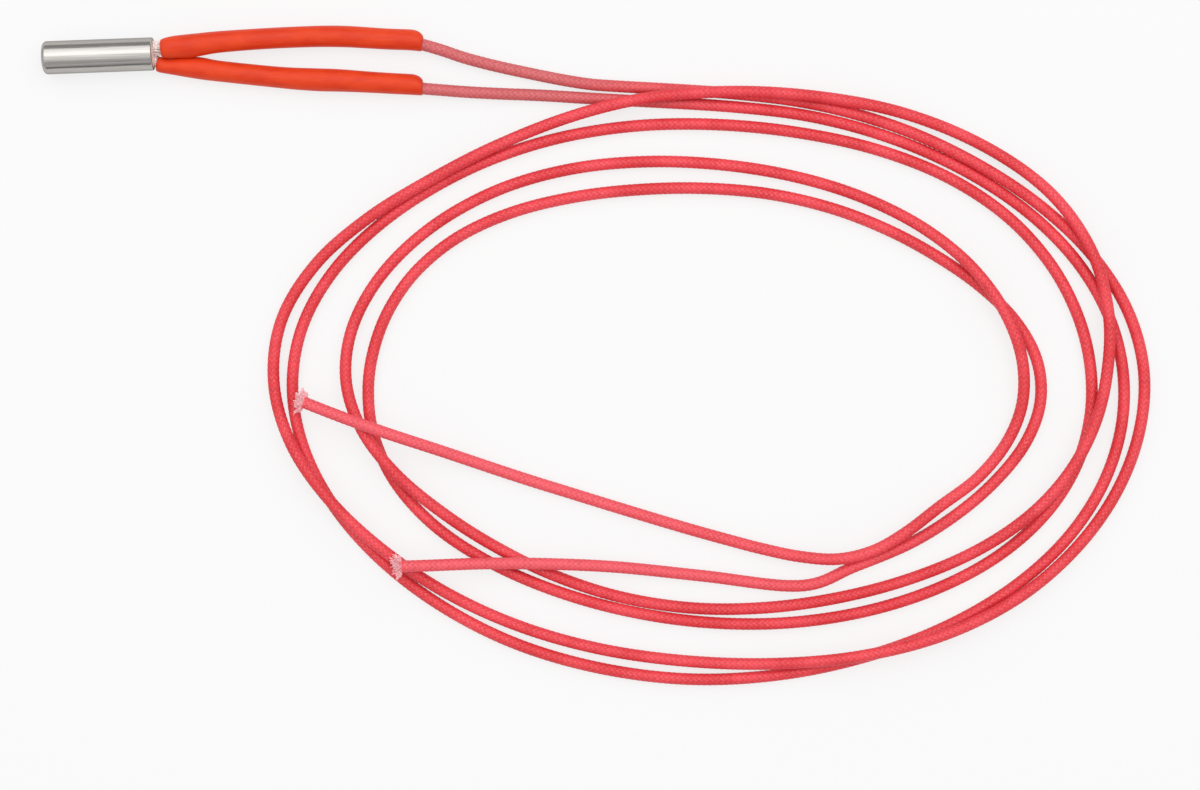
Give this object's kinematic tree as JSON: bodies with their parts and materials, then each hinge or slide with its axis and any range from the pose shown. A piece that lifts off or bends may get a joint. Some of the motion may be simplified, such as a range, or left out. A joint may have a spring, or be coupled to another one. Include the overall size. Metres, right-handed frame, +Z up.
{
  "type": "cartridge heater",
  "caption": "Round steel-sheathed cartridge heater with sleeved, glass-braided leads wound in a loose oval coil; slides into a bored block to heat it.",
  "frame": {"origin": "centre of the sheath's lead-end face, on the sheath's axis", "axes": "+X along the sheath from its closed end to its leads, +Z up from the surface it lies on"},
  "size_m": [0.1992, 0.1229, 0.0067],
  "materials": {
    "stainless": "satin",
    "ceramic": "matt",
    "magnesia": "matt, packed powder",
    "nichrome": "drawn wire",
    "nickel": "drawn wire",
    "seal": "matt cement",
    "glass_sleeving": "woven glass",
    "tinned_copper": "tinned",
    "silicone": "soft satin",
    "glass_braid": "woven glass, varnished"
  },
  "bodies": {
    "root": {"sheath": "stainless", "end_disc": "stainless", "base_wafer": "ceramic", "magnesia_fill": "magnesia", "ceramic_core": "ceramic", "resistance_winding": "nichrome", "lead_end_seal": "seal", "pin_a": "nickel", "pin_b": "nickel", "glass_sleeving_a": "glass_sleeving", "glass_sleeving_b": "glass_sleeving", "crimp_a": "tinned_copper", "crimp_b": "tinned_copper", "conductor_a": "tinned_copper", "conductor_b": "tinned_copper", "sleeve_a": "silicone", "sleeve_b": "silicone", "lead_a": "glass_braid", "lead_b": "glass_braid", "lead_coil": "glass_braid", "lead_a_tail": "glass_braid", "lead_b_tail": "glass_braid"}
  },
  "joints": []
}
